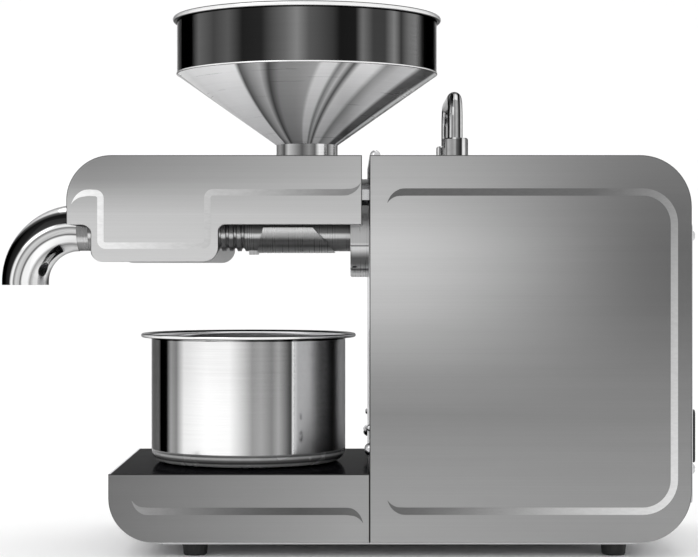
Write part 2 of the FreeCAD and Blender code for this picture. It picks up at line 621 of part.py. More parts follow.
def bearing_housing():
    """The turned flange that holds the barrel and, inside the casing, the shaft's bearings."""
    edge = 0.8
    neck_r = 14.0
    profile = [(FLANGE_X0, BARREL_R + FIT), (FLANGE_X0, FLANGE_R - edge), (FLANGE_X0 + edge, FLANGE_R),
               (CASE_X0, FLANGE_R), (CASE_X0, SNOUT_R), (PLATE_A_X, SNOUT_R), (PLATE_A_X, BEARING_R),
               (BEARING_X[0], BEARING_R), (BEARING_X[0], neck_r), (BARREL_X1 + FIT, neck_r),
               (BARREL_X1 + FIT, BARREL_R + FIT)]
    housing = turned_x(profile)
    grub_hole = rod_y(-FLANGE_R - 1, -BARREL_R + 2, GRUB_R, GRUB_X, AXIS_Z)
    grub_screw = rod_y(-FLANGE_R + 0.6, -BARREL_R - FIT - 0.1, GRUB_R, GRUB_X, AXIS_Z)
    grub_screw = grub_screw.cut(rod_y(-FLANGE_R, -FLANGE_R + 2.5, GRUB_R * 0.5, GRUB_X, AXIS_Z))
    for piece in (grub_hole, grub_screw):
        piece.rotate(V(0, 0, AXIS_Z), V(1, 0, 0), GRUB_ANGLE)
    save("bearing_housing", housing.cut(grub_hole))
    save("barrel_grub_screw", grub_screw)
    outers, inners = [], []
    for x in BEARING_X:
        outers.append(tube_x(x, x + BEARING_W, BEARING_R, RACE_OUT))
        inners.append(tube_x(x, x + BEARING_W, RACE_IN, SHAFT_R))
    outers.append(tube_x(BEARING_X[0] + BEARING_W, BEARING_X[1], BEARING_R, 13.5))
    save("bearing_outer_rings", outers)
    save("bearing_inner_rings", inners)


# ---- Gear train, motor and fan -------------------------------------------------------------
def gear(teeth, module, width, bore, phase):
    """A spur gear standing on x = 0 along +X, with involute flanks; phase is a tooth's angle from +Y."""
    pressure = math.radians(20)
    pitch_r = module * teeth / 2
    base_r = pitch_r * math.cos(pressure)
    tip_r, root_r = pitch_r + 0.85 * module, pitch_r - 1.2 * module
    play = 0.12 * module
    half_at_pitch = (math.pi * module / 2 - play) / 2 / pitch_r

    def half_angle(radius):
        """Half of the tooth's angle at this radius."""
        shown = math.acos(min(1.0, base_r / radius))
        return half_at_pitch + (math.tan(pressure) - pressure) - (math.tan(shown) - shown)

    steps = [max(base_r, root_r), pitch_r, (pitch_r + tip_r) / 2, tip_r]
    outline = []
    for tooth in range(teeth):
        middle = phase + 2 * math.pi * tooth / teeth
        flank = [(root_r, half_angle(steps[0]))] + [(r, half_angle(r)) for r in steps]
        if root_r >= base_r:
            flank = flank[1:]
        outline += [(r, middle - a) for r, a in flank] + [(r, middle + a) for r, a in reversed(flank)]
    points = [V(0, r * math.cos(a), r * math.sin(a)) for r, a in outline]
    body = Part.Face(Part.makePolygon(points + points[:1])).extrude(V(width, 0, 0))
    if bore > 0:
        body = body.cut(Part.makeCylinder(bore, width + 2, V(-1, 0, 0), V(1, 0, 0)))
    return body


def placed(shape, x, z):
    """A shape moved to x and z, at y = 0."""
    shape.translate(V(x, 0, z))
    return shape


def gear_train():
    """Output shaft and gear, layshaft with its two gears, and the motor's pinion."""
    up, down = math.pi / 2, -math.pi / 2
    out_gear_x1 = OUT_GEAR_X0 + OUT_GEAR_W
    shaft_x0, shaft_x1 = BEARING_X[0] - 1, out_gear_x1 + 3.0
    shaft = rod_x(shaft_x0, shaft_x1, SHAFT_R)
    shaft = shaft.fuse(rod_x(BEARING_X[1] + BEARING_W, OUT_GEAR_X0, SHAFT_R + 2.0))
    shaft = shaft.fuse(rod_x(out_gear_x1, shaft_x1, SHAFT_R + 3.5))
    socket = along_x(hexagon(TAIL_R, TAIL_X1 - shaft_x0 + 1), shaft_x0 - 1, 0, AXIS_Z)
    save("output_shaft", shaft.cut(socket))
    out = placed(gear(TEETH_OUT, M2, OUT_GEAR_W, SHAFT_R, down), OUT_GEAR_X0, AXIS_Z)
    hole_r, circle_r = 4.5, 17.5
    for i in range(6):
        angle = math.radians(60 * i)
        out = out.cut(rod_x(OUT_GEAR_X0 - 1, out_gear_x1 + 1, hole_r,
                            circle_r * math.cos(angle), AXIS_Z + circle_r * math.sin(angle)))
    save("output_gear", out)
    save("layshaft", rod_x(PLATE_A_X, PLATE_B_X + GEARBOX_PLATE, LAY_R, 0, LAY_Z))
    small_gap, motor_gap = math.pi / TEETH_LAY_SMALL, math.pi / TEETH_MOTOR
    small = gear(TEETH_LAY_SMALL, M2, OUT_GEAR_W + 3, LAY_R, up + small_gap)
    save("layshaft_pinion", placed(small, OUT_GEAR_X0 - 1.5, LAY_Z))
    big = gear(TEETH_LAY_BIG, M1, LAY_GEAR_W, LAY_R, down)
    save("layshaft_gear", placed(big, LAY_GEAR_X0, LAY_Z))
    pinion = gear(TEETH_MOTOR, M1, LAY_GEAR_W + 2, MOTOR_SHAFT_R, up + motor_gap)
    save("motor_pinion", placed(pinion, LAY_GEAR_X0 - 1, MOTOR_Z))


def gearbox_frame():
    """Two plates and four pillars that hold the gears and the motor; the front plate is the foot."""
    side, top, foot_t = 45.0, 236.0, 4.0
    pan_top = FLOOR_Z + SHEET
    foot_top = pan_top + foot_t
    plate_a = slab_x([(-side, pan_top, 0), (side, pan_top, 0), (side, top, 10), (-side, top, 10)],
                     PLATE_A_X, PLATE_A_X + GEARBOX_PLATE)
    plate_a = plate_a.fuse(box(PLATE_A_X, CRADLE_X1, -side, side, pan_top, foot_top))
    cradle = box(CRADLE_X0, CRADLE_X1, -26.0, 26.0, foot_top, MOTOR_Z - 20)
    cradle = cradle.cut(rod_x(CRADLE_X0 - 1, CRADLE_X1 + 1, MOTOR_R, 0, MOTOR_Z))
    cradle = cradle.cut(slab_x(rounded_rect(-16, 16, FLOOR_Z + 14, MOTOR_Z - MOTOR_R - 10, 5),
                               CRADLE_X0 - 1, CRADLE_X1 + 1))
    plate_a = plate_a.cut(rod_x(PLATE_A_X - 1, PLATE_A_X + 10, 11.5))
    plate_b = slab_x([(-side, foot_top, 0), (side, foot_top, 0), (side, top, 10), (-side, top, 10)],
                     PLATE_B_X, PLATE_B_X + GEARBOX_PLATE)
    plate_b = plate_b.cut(rod_x(PLATE_B_X - 1, PLATE_B_X + 10, 11.0, 0, MOTOR_Z))
    window = slab_x(rounded_rect(-28, 28, 30, 84, 6), PLATE_A_X - 1, PLATE_B_X + 10)
    bush_r = 7.5
    bushes = []
    for x in (PLATE_A_X, PLATE_B_X):
        bushes.append(tube_x(x, x + GEARBOX_PLATE, bush_r, LAY_R + 0.04, 0, LAY_Z))
    hole = rod_x(PLATE_A_X - 1, PLATE_B_X + 10, bush_r, 0, LAY_Z)
    save("gearbox_frame", plate_a.cut(window).cut(hole).fuse(cradle))
    save("motor_plate", plate_b.cut(window).cut(hole))
    save("layshaft_bushes", bushes)
    pillars = [rod_x(PLATE_A_X + GEARBOX_PLATE, PLATE_B_X, 4.0, y, z)
               for y in (-38.0, 38.0) for z in (104.0, 224.0)]
    save("gearbox_pillars", pillars)


def motor():
    """The drive motor: can, end bell, and the armature on its shaft."""
    x0, x1 = MOTOR_X0, MOTOR_X0 + MOTOR_LEN
    seam_x = x1 - 14
    inside_r, boss_r, bore_r = MOTOR_R - 3.0, 9.0, MOTOR_SHAFT_R + 0.05
    can = turned_x([(x0, bore_r), (x0, MOTOR_R), (seam_x, MOTOR_R), (seam_x, inside_r),
                    (x0 + 3, inside_r), (x0 + 3, boss_r), (x0 + 7, boss_r), (x0 + 7, bore_r)], MOTOR_Z)
    bell = turned_x([(seam_x, inside_r), (seam_x, MOTOR_R), (x1 - 4, MOTOR_R), (x1, MOTOR_R - 6),
                     (x1, bore_r), (x1 - 5, bore_r), (x1 - 5, inside_r - 5), (x1 - 9, inside_r)], MOTOR_Z)
    save("motor_can", can)
    save("motor_end_bell", bell)
    save("motor_shaft", rod_x(LAY_GEAR_X0 - 1, FAN_X0 + FAN_W + 2, MOTOR_SHAFT_R, 0, MOTOR_Z))
    core_r, slots = 24.0, 8
    core = tube_x(x0 + 14, x1 - 24, core_r, MOTOR_SHAFT_R, 0, MOTOR_Z)
    for i in range(slots):
        slot = box(x0, x1, -1.6, 1.6, MOTOR_Z + core_r - 10, MOTOR_Z + core_r + 2)
        slot.rotate(V(0, 0, MOTOR_Z), V(1, 0, 0), 360.0 / slots * i)
        core = core.cut(slot)
    save("armature", core)


def cooling_fan():
    """The cooling fan behind the vents."""
    hub_r, blades, half_t, half_w, twist = 9.0, 7, 0.8, 8.0, 50.0
    hub = tube_x(FAN_X0, FAN_X0 + FAN_W, hub_r, MOTOR_SHAFT_R, 0, MOTOR_Z)
    middle = FAN_X0 + FAN_W / 2
    for i in range(blades):
        blade = box(middle - half_t, middle + half_t, -half_w, half_w, MOTOR_Z + hub_r - 1.5, MOTOR_Z + FAN_R)
        blade.rotate(V(middle, 0, MOTOR_Z), V(0, 0, 1), twist)
        blade.rotate(V(0, 0, MOTOR_Z), V(1, 0, 0), 360.0 / blades * i)
        hub = hub.fuse(blade)
    save("cooling_fan", hub.removeSplitter())


def control_board():
    """The board that carries the relays and the motor's start capacitor."""
    y = HALF - PLATE - 10.0
    x0, x1, z0, z1, thick = 105.0, 185.0, 150.0, 215.0, 1.6
    board = box(x0, x1, y, y + thick, z0, z1)
    relays = [box(x0 + 7, x0 + 26, y - 15.0, y, z, z + 16.0) for z in (z0 + 40, z0 + 10)]
    capacitor = rod_y(y - 26.0, y, 9.0, x0 + 50, z0 + 33)
    posts = [rod_y(y + thick, HALF - PLATE, 3.0, x, z)
             for x in (x0 + 4, x1 - 4) for z in (z0 + 4, z1 - 4)]
    save("control_board", board.fuse(posts))
    save("board_components", relays + [capacitor])


# ---- Hopper and oil pot --------------------------------------------------------------------
def bead(radius, z, size):
    """Points of a rolled edge round (radius, z), as an eight-sided section."""
    return [(radius + size * math.cos(math.radians(a)), z + size * math.sin(math.radians(a)))
            for a in range(-135, 181, 45)]


def hopper():
    """The hopper: a straight band with a rolled edge, and a cone that ends in the neck."""
    t = HOPPER_SHEET
    z = HOPPER_RIM_Z - HOPPER_BEAD
    edge_r = HOPPER_RIM_R - HOPPER_BEAD
    band = [(HOPPER_R - t, HOPPER_BAND_Z), (HOPPER_R, HOPPER_BAND_Z), (HOPPER_R, z - HOPPER_BEAD)]
    band += bead(edge_r, z, HOPPER_BEAD)
    band += [(HOPPER_R - t, z)]
    save("hopper_band", turned_z(band, FEED_X))
    neck_low = TOP_Z - 16.0
    cone = [(HOPPER_R, HOPPER_BAND_Z - t), (HOPPER_R, HOPPER_BAND_Z), (HOPPER_R - 2 * t, HOPPER_BAND_Z),
            (NECK_R - t, HOPPER_NECK_Z + t), (NECK_R - t, neck_low), (NECK_R, neck_low),
            (NECK_R, HOPPER_NECK_Z)]
    save("hopper_cone", turned_z(cone, FEED_X))


def oil_pot():
    """The steel pot that catches the oil, with its rolled rim."""
    t, c = POT_SHEET, POT_CORNER
    r, z0 = POT_R, BASE_TOP
    z = POT_TOP - 1.3

    def corner(size):
        """Points from the floor up to the wall round the bottom corner."""
        angles = [math.radians(a) for a in (0, 22.5, 45, 67.5, 90)]
        return [(r - c + size * math.sin(a), z0 + c - size * math.cos(a)) for a in angles]

    lip = POT_RIM_R - 1.3
    rim = [(r, z - 2.4), (r + 1.6, z - 1.2), (lip - 1.2, z - 0.9), (lip, z - 1.3), (lip + 1.3, z),
           (lip, z + 1.3), (r + 1.2, z + 0.1), (r - t, z - 2.0)]
    profile = [(0, z0)] + corner(c) + rim + corner(c - t)[::-1] + [(0, z0 + t)]
    save("oil_pot", turned_z(profile, POT_X))


def wall_screws():
    """Screws in the press-side wall above the drip base, and the dome screws on the casing top."""
    pieces = []
    for y in (-WALL_SCREW_Y, WALL_SCREW_Y):
        for z, size in WALL_SCREWS:
            pieces.append(screw((CASE_X0, y, z), (-1, 0, 0), size, size * 0.8, size * 0.5, SHEET))
    for y in (-TOP_SCREW_Y, TOP_SCREW_Y):
        pieces.append(screw((TOP_SCREW_X, y, TOP_Z), (0, 0, 1), TOP_SCREW_R, 3.4, TOP_SCREW_SHANK, SHEET))
    save("wall_screws", pieces)


def wall_screw_holes(sheet):
    """The sheet with holes for the wall screws and the dome screws."""
    for y in (-WALL_SCREW_Y, WALL_SCREW_Y):
        for z, size in WALL_SCREWS:
            sheet = sheet.cut(rod_x(CASE_X0 - 1, CASE_X0 + 3, size * 0.5, y, z))
    for y in (-TOP_SCREW_Y, TOP_SCREW_Y):
        sheet = sheet.cut(rod_z(TOP_Z - SHEET, TOP_Z + 1, TOP_SCREW_SHANK, TOP_SCREW_X, y))
    return sheet


def main():
    """Builds every part and writes it to its own file."""
    os.makedirs(PARTS, exist_ok=True)
    casing()
    drip_base()
    fasteners = underside() + carry_handle() + press_head()
    save("frame_fasteners", fasteners)
    end_panel()
    switches()
    feed_chute()
    heater()
    barrel()
    oil_guard()
    cake_spout()
    press_screw()
    bearing_housing()
    gear_train()
    gearbox_frame()
    motor()
    cooling_fan()
    control_board()
    hopper()
    oil_pot()
    wall_screws()


main()
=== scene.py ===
# %% [markdown]
# # Dressing a table-top screw oil press
# The shapes of this press come from CAD: sheet-steel casing, drip base, press head, hopper, pot
# and the drive inside. This lesson turns them into something that looks like polished and brushed
# steel. Some round pieces get a finer stand-in mesh, because a mirror shows every facet. The flat
# pieces keep their CAD mesh and only get a material. The script first loads the imported part.

# %% Load the imported part
import json
import math
import bmesh
import bpy
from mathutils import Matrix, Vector


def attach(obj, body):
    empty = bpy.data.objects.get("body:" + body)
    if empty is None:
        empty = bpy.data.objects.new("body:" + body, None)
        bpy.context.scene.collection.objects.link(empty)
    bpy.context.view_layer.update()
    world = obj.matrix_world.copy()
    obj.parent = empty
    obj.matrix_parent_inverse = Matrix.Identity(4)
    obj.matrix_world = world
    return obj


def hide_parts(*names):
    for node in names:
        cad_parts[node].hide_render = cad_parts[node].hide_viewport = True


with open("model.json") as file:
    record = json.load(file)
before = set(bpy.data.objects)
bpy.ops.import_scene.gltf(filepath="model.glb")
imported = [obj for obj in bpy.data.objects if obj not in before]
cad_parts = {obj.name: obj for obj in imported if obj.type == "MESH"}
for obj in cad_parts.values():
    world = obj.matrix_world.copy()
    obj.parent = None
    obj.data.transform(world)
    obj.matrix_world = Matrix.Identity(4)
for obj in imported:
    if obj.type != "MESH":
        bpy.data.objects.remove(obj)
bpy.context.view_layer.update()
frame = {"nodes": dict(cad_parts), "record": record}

# %% [markdown]
# ## Writing node materials
# Every finish here is a small tree of shader nodes. Two helpers keep that short: one adds a node
# and sets its values, the other starts a material and hands back its tree. A texture needs a
# place to be measured from, and object coordinates are the right choice for a machine: they are
# in metres and stay with the piece when it moves.

# %% Node helpers
def add(tree, kind, inputs=None, **settings):
    """Adds a node; inputs maps a socket's name or number to a value or to another socket."""
    made = tree.nodes.new(kind)
    for key, value in settings.items():
        setattr(made, key, value)
    for key, value in (inputs or {}).items():
        if isinstance(value, bpy.types.NodeSocket):
            tree.links.new(value, made.inputs[key])
        else:
            made.inputs[key].default_value = value
    return made


def start(name):
    """A new material with its tree and its principled shader."""
    made = bpy.data.materials.new(name)
    made.use_nodes = True
    tree = made.node_tree
    return made, tree, tree.nodes["Principled BSDF"]


def stretched_noise(tree, grain, detail=2.0):
    """Noise with grain cells per metre along x, y and z, as a value from 0 to 1."""
    place = add(tree, "ShaderNodeTexCoord")
    scaled = add(tree, "ShaderNodeVectorMath", {0: place.outputs["Object"], 1: grain}, operation="MULTIPLY")
    noise = add(tree, "ShaderNodeTexNoise", {"Vector": scaled.outputs[0], "Scale": 1.0, "Detail": detail})
    return noise.outputs["Factor" if "Factor" in noise.outputs else "Fac"]


def spread(tree, value, low, high, start_at=0.3, end_at=0.7):
    """Maps the usual swing of a noise to low..high."""
    mapped = add(tree, "ShaderNodeMapRange", {"Value": value, "From Min": start_at, "From Max": end_at,
                                              "To Min": low, "To Max": high})
    return mapped.outputs["Result"]


def ramp_of(tree, value, low, high, stops):
    """A colour ramp over value, low..high; stops are (value, tone), tones being plain greys."""
    share = add(tree, "ShaderNodeMapRange", {"Value": value, "From Min": low, "From Max": high})
    made = add(tree, "ShaderNodeValToRGB", {"Fac": share.outputs["Result"]})
    while len(made.color_ramp.elements) < len(stops):
        made.color_ramp.elements.new(0.5)
    for element, (at, tone) in zip(made.color_ramp.elements, stops):
        element.position = (at - low) / (high - low)
        element.color = (tone, tone, tone, 1.0)
    return made.outputs["Color"]


def split(tree, kind="Object"):
    """The x, y and z of a piece's object coordinates, or of its "Normal"."""
    place = add(tree, "ShaderNodeTexCoord")
    return add(tree, "ShaderNodeSeparateXYZ", {0: place.outputs[kind]}).outputs


def tint(tree, shader, tone, share):
    """Gives the shader a base colour of tone times share."""
    color = add(tree, "ShaderNodeVectorMath", {0: tone, "Scale": share}, operation="SCALE")
    tree.links.new(color.outputs[0], shader.inputs["Base Color"])


def relieve(tree, shader, height, depth, strength):
    """A shallow bump that is depth metres high."""
    relief = add(tree, "ShaderNodeBump", {"Height": height, "Distance": depth, "Strength": strength})
    tree.links.new(relief.outputs["Normal"], shader.inputs["Normal"])


def blend(tree, share, first, second):
    """first where share is 0, second where it is 1."""
    return add(tree, "ShaderNodeMix", {0: share, 2: first, 3: second}).outputs[0]


def polish(shader, metallic=1.0, rim=0.25):
    """Makes a shader metal; rim below 1 keeps the outline of a round piece from washing out."""
    shader.inputs["Metallic"].default_value = metallic
    shader.inputs["Specular Tint"].default_value = (rim, rim, rim, 1.0)


print("helpers ready")

# %% [markdown]
# ## Metal with a grain
# Brushing leaves thousands of fine parallel scratches, and turning leaves them round the axis.
# Both are noise that is stretched a long way along the scratch and squeezed across it. The same
# noise changes the tone a little, the roughness more, and gives a very shallow bump. A second,
# broad noise stands for handling marks, because no real sheet is evenly clean.

# %% A metal finish
SMUDGE = (9.0, 9.0, 9.0)
SWING = 0.25


def metal(name, tone, rough, grain, streak=0.06):
    """Bright metal; streak is how far the grain moves the tone, SWING how far it moves roughness."""
    made, tree, shader = start(name)
    fine = stretched_noise(tree, grain)
    broad = stretched_noise(tree, SMUDGE, 3.0)
    tint(tree, shader, tone, spread(tree, fine, 1.0 - streak, 1.0 + streak))
    base_rough = spread(tree, fine, rough * (1 - SWING), rough * (1 + SWING))
    marks = spread(tree, broad, 0.85, 1.2)
    final = add(tree, "ShaderNodeMath", {0: base_rough, 1: marks}, operation="MULTIPLY")
    tree.links.new(final.outputs[0], shader.inputs["Roughness"])
    relieve(tree, shader, fine, 0.00002, 0.6)
    shader.inputs["Metallic"].default_value = 1.0
    return made


ALONG_X = (12.0, 900.0, 1300.0)
ROUND_Z = (14.0, 14.0, 1100.0)
ROUND_X = (1100.0, 14.0, 14.0)
finishes = {
    "sheet_steel": metal("sheet_steel", (0.60, 0.60, 0.61), 0.34, ALONG_X),
    "pot_steel": metal("pot_steel", (0.66, 0.66, 0.67), 0.12, ROUND_Z, streak=0.04),
    "hopper_steel": metal("hopper_steel", (0.62, 0.62, 0.63), 0.10, ROUND_Z, streak=0.04),
    "spout_chrome": metal("spout_chrome", (0.72, 0.72, 0.73), 0.05, (60.0, 60.0, 60.0), streak=0.02),
    "handle_chrome": metal("handle_chrome", (0.62, 0.62, 0.63), 0.10, (300.0, 300.0, 300.0), streak=0.03),
    "turned_steel": metal("turned_steel", (0.62, 0.62, 0.63), 0.18, ROUND_X),
    "screw_steel": metal("screw_steel", (0.42, 0.42, 0.43), 0.28, ROUND_X),
    "fastener_steel": metal("fastener_steel", (0.60, 0.60, 0.61), 0.2, (400.0, 400.0, 400.0)),
    "gear_steel": metal("gear_steel", (0.36, 0.36, 0.37), 0.33, (500.0, 500.0, 500.0)),
    "bush_brass": metal("bush_brass", (0.60, 0.42, 0.17), 0.25, ROUND_X),
    "saddle_aluminium": metal("saddle_aluminium", (0.62, 0.62, 0.63), 0.45, (600.0, 600.0, 600.0)),
    "armature_iron": metal("armature_iron", (0.24, 0.18, 0.14), 0.5, ROUND_X),
}
print("metal finishes:", len(finishes))

# %% [markdown]
# ## The face plates
# The front plate is the widest thing in view, and a single flat tone looks like cardboard. The slow
# swing of light and dark across it is a painted reflection of the studio in the colour of the sheet.
# Here three ramps over the height paint it at the left end, in the middle and at the right end of the
# machine, and the sideways position blends between them. The rounded edge of a plate is told apart
# by its normal and gets painted shade above and at the sides and a painted highlight underneath.

# %% Face plate steel
FACE_TOP = 0.242
# painted reflection: these ramps of tone over the height stand in for studio light and dark on the plate
LEFT_PAINTED_SHEEN = [(0.009, 0.17), (0.05, 0.16), (0.18, 0.60), (0.206, 0.56), (0.227, 0.31), (0.242, 0.23)]
MIDDLE_PAINTED_SHEEN = [(0.009, 0.42), (0.035, 0.35), (0.086, 0.26), (0.107, 0.30), (0.155, 0.53), (0.188, 0.60),
               (0.212, 0.50), (0.242, 0.41)]
RIGHT_PAINTED_SHEEN = [(0.009, 0.34), (0.035, 0.31), (0.086, 0.24), (0.107, 0.22), (0.155, 0.155), (0.185, 0.145),
              (0.212, 0.16), (0.242, 0.20)]


def face_finish():
    """Brushed sheet with a painted reflection in its slow swing of tone, under very fine horizontal
    scratches.
    """
    made, tree, shader = start("face_steel")
    place, facing = split(tree), split(tree, "Normal")
    left, middle, right = [ramp_of(tree, place["Z"], 0.0, FACE_TOP, painted_sheen)
                           for painted_sheen in (LEFT_PAINTED_SHEEN, MIDDLE_PAINTED_SHEEN, RIGHT_PAINTED_SHEEN)]
    leftward = spread(tree, place["X"], 0.0, 1.0, -0.15, 0.01)
    rightward = add(tree, "ShaderNodeMapRange", {"Value": place["X"], "From Min": 0.015,
                                                 "From Max": 0.205}, interpolation_type="SMOOTHSTEP")
    painted_sheen = blend(tree, rightward.outputs["Result"], blend(tree, leftward, left, middle), right)
    fine = stretched_noise(tree, (5.0, 900.0, 2300.0), 2.0)
    soft = stretched_noise(tree, (6.0, 60.0, 90.0), 2.0)
    scratches, cloudy = spread(tree, fine, 0.965, 1.035), spread(tree, soft, 0.98, 1.02)
    grain = add(tree, "ShaderNodeMath", {0: scratches, 1: cloudy}, operation="MULTIPLY")
    body = add(tree, "ShaderNodeMath", {0: painted_sheen, 1: grain.outputs[0]}, operation="MULTIPLY")
    flat = add(tree, "ShaderNodeMath", {0: facing["Y"]}, operation="ABSOLUTE")
    # painted light and shade on the rounded edge: dark where it faces up or sideways, a painted highlight
    # where it faces down
    edge = blend(tree, spread(tree, facing["Z"], 0.0, 1.0, -0.6, -0.2), 0.75, 0.05)
    tone = blend(tree, spread(tree, flat.outputs[0], 0.0, 1.0, 0.8, 0.985), edge, body.outputs[0])
    tree.links.new(tone, shader.inputs["Base Color"])
    tree.links.new(spread(tree, fine, 0.36, 0.46), shader.inputs["Roughness"])
    relieve(tree, shader, fine, 0.00001, 0.3)
    polish(shader)
    return made


finishes["face_steel"] = face_finish()
print("face plate steel ready")

# %% [markdown]
# ## Enamel, rubber, plastic and paint
# These are not metals, so their colour comes from the body and a clear reflection lies on top.
# The enamel of the drip plate is smooth, but seen this low a full gloss would only mirror the
# white wall, so its index is kept close to 1. Rubber and moulded plastic are duller, and a fine
# bump stops them from looking like plain black.

# %% Non-metal finishes
def coated(name, tone, rough, cells, bump, coat=0.0, ior=1.5):
    """A non-metal: a plain body with a fine bump, and a clear coat where it is glossy."""
    made, tree, shader = start(name)
    skin = stretched_noise(tree, (cells, cells, cells), 3.0)
    tint(tree, shader, tone, spread(tree, skin, 0.85, 1.15))
    tree.links.new(spread(tree, skin, rough * 0.8, rough * 1.25), shader.inputs["Roughness"])
    relieve(tree, shader, skin, bump, 0.5)
    shader.inputs["IOR"].default_value = ior
    shader.inputs["Coat Weight"].default_value = coat
    shader.inputs["Coat Roughness"].default_value = 0.03
    return made


finishes["black_enamel"] = coated("black_enamel", (0.006, 0.006, 0.007), 0.09, 60.0, 0.00001, ior=1.006)
finishes["black_rubber"] = coated("black_rubber", (0.012, 0.012, 0.012), 0.6, 1500.0, 0.0001)
finishes["black_plastic"] = coated("black_plastic", (0.012, 0.012, 0.013), 0.4, 1800.0, 0.00006)
finishes["rocker_plastic"] = coated("rocker_plastic", (0.02, 0.02, 0.022), 0.18, 500.0, 0.00002, coat=0.5)
finishes["fan_plastic"] = coated("fan_plastic", (0.02, 0.02, 0.02), 0.45, 1200.0, 0.00006)
finishes["frame_paint"] = coated("frame_paint", (0.05, 0.053, 0.06), 0.35, 700.0, 0.00006)
finishes["motor_steel"] = coated("motor_steel", (0.02, 0.02, 0.022), 0.3, 500.0, 0.00004)
finishes["board_laminate"] = coated("board_laminate", (0.01, 0.07, 0.025), 0.3, 900.0, 0.00003)
slot_of = {entry["node"]: entry["material_slot"] for entry in frame["record"]["subparts"]}
for node, shown in frame["nodes"].items():
    for holder in shown.material_slots:
        holder.material = finishes[slot_of[node]]
print("all", len(finishes), "finishes are on their nodes")

# %% [markdown]
# ## Painted reflections that run round an axis
# A polished round vessel shows the room as streaks along its axis, because its polishing lines run
# round it. A studio full of panels would draw them; here they are painted reflections and painted
# highlights in the colour of the steel instead, steadier from every side. The angle round the axis
# picks a tone from a ramp. Angle 0 is the side towards the operator, and +90 is right on an upright
# axis and up on a lying one. The far half mirrors the near half. On the cone the painted streaks lean
# over a little from top to bottom.

# %% Angle round an axis and the steels with painted reflections
FEED_X, POT_X, AXIS_Z = -0.0204, -0.058, 0.2


def turn_angle(tree, side, centre):
    """Degrees from the middle out to 90 at the side; the far half mirrors the near half."""
    place = split(tree)
    off = add(tree, "ShaderNodeMath", {0: place[side], 1: centre}, operation="SUBTRACT")
    near = add(tree, "ShaderNodeMath", {0: place["Y"]}, operation="ABSOLUTE")
    turn = add(tree, "ShaderNodeMath", {0: off.outputs[0], 1: near.outputs[0]}, operation="ARCTAN2")
    degrees = add(tree, "ShaderNodeMath", {0: turn.outputs[0], 1: 180 / math.pi}, operation="MULTIPLY")
    return degrees.outputs[0]


def reflection_painted(name, side, centre, stops, rough, grain, lean=0.0, pivot=0.0, metallic=1.0):
    """Polished steel with painted reflections and highlights: its tone changes with the angle; lean is in
    degrees per metre above pivot.
    """
    made, tree, shader = start(name)
    angle = turn_angle(tree, side, centre)
    if lean:
        above = add(tree, "ShaderNodeMath", {0: split(tree)["Z"], 1: pivot}, operation="SUBTRACT")
        angle = add(tree, "ShaderNodeMath", {0: above.outputs[0], 1: -lean, 2: angle},
                    operation="MULTIPLY_ADD").outputs[0]
    # painted reflections and painted highlights: a tone ramp over the angle round the axis stands in for the
    # studio mirrored in the steel
    front = ramp_of(tree, angle, -90.0, 90.0, stops)
    fine = stretched_noise(tree, grain)
    broad = stretched_noise(tree, (11.0, 11.0, 3.0), 2.0)
    scratches, marks = spread(tree, fine, 0.97, 1.03), spread(tree, broad, 0.94, 1.06)
    shade = add(tree, "ShaderNodeMath", {0: scratches, 1: marks}, operation="MULTIPLY")
    tint(tree, shader, front, shade.outputs[0])
    tree.links.new(spread(tree, fine, rough * 0.8, rough * 1.25), shader.inputs["Roughness"])
    relieve(tree, shader, fine, 0.00001, 0.4)
    polish(shader, metallic)
    return made


# hopper band, cone, neck and pot: bright and dark streaks of painted reflection in the tone ramps
band_steel = reflection_painted("hopper_band_painted_reflections", "X", FEED_X, [
    (-90, 0.03), (-80, 0.03), (-72, 0.16), (-68, 0.02), (-58, 0.02), (-52, 0.14), (-42, 0.06), (-34, 0.10),
    (-27, 0.015), (-18, 0.02), (-8, 0.14), (-3, 0.24), (2, 0.10), (12, 0.04), (15, 0.01), (22, 0.012),
    (25, 0.16), (30, 0.05), (36, 0.05), (41, 0.22), (45, 0.04), (50, 0.16), (55, 0.22), (60, 0.05),
    (66, 0.012), (80, 0.01), (86, 0.25), (90, 0.02)], 0.14, ROUND_Z)
cone_steel = reflection_painted("hopper_cone_painted_reflections", "X", FEED_X, [
    (-90, 0.05), (-86, 0.9), (-82, 0.35), (-78, 1.0), (-66, 0.9), (-58, 1.0), (-31, 1.0), (-29, 0.10),
    (-24, 0.38), (-19, 0.60), (-15, 0.07), (-10, 0.36), (0, 0.45), (6, 0.55), (8, 1.0), (14, 1.0),
    (16, 0.3), (19, 0.8), (22, 0.10), (25, 1.0), (34, 1.0), (38, 0.42), (46, 0.75), (56, 0.9),
    (61, 0.16), (76, 0.06), (80, 1.0), (86, 0.8), (90, 0.04)], 0.34, ROUND_Z, 300.0, 0.299, 0.45)
neck_steel = reflection_painted("hopper_neck_painted_reflections", "X", FEED_X, [
    (-90, 0.03), (-78, 0.45), (-60, 0.35), (-46, 0.06), (-36, 0.55), (-20, 0.28), (-8, 0.10), (5, 0.28),
    (16, 0.12), (24, 0.85), (34, 0.8), (42, 0.08), (55, 0.5), (74, 0.4), (84, 0.04), (90, 0.03)],
    0.12, ROUND_Z)
pot_steel = reflection_painted("pot_painted_reflections", "X", POT_X, [
    (-90, 0.12), (-84, 0.5), (-74, 0.34), (-62, 0.20), (-59, 0.015), (-52, 0.015), (-48, 0.34), (-43, 0.22),
    (-37, 0.80), (-22, 0.95), (-8, 0.92), (0, 0.55), (5, 0.30), (10, 0.36), (16, 0.22), (20, 0.36),
    (26, 0.10), (28.0, 0.03), (28.6, 0.97), (30.4, 0.97), (32, 0.65), (41, 0.72), (46, 0.42), (52, 0.36),
    (60, 0.24), (66, 0.7), (80, 0.85), (88, 0.10)], 0.13, ROUND_Z)
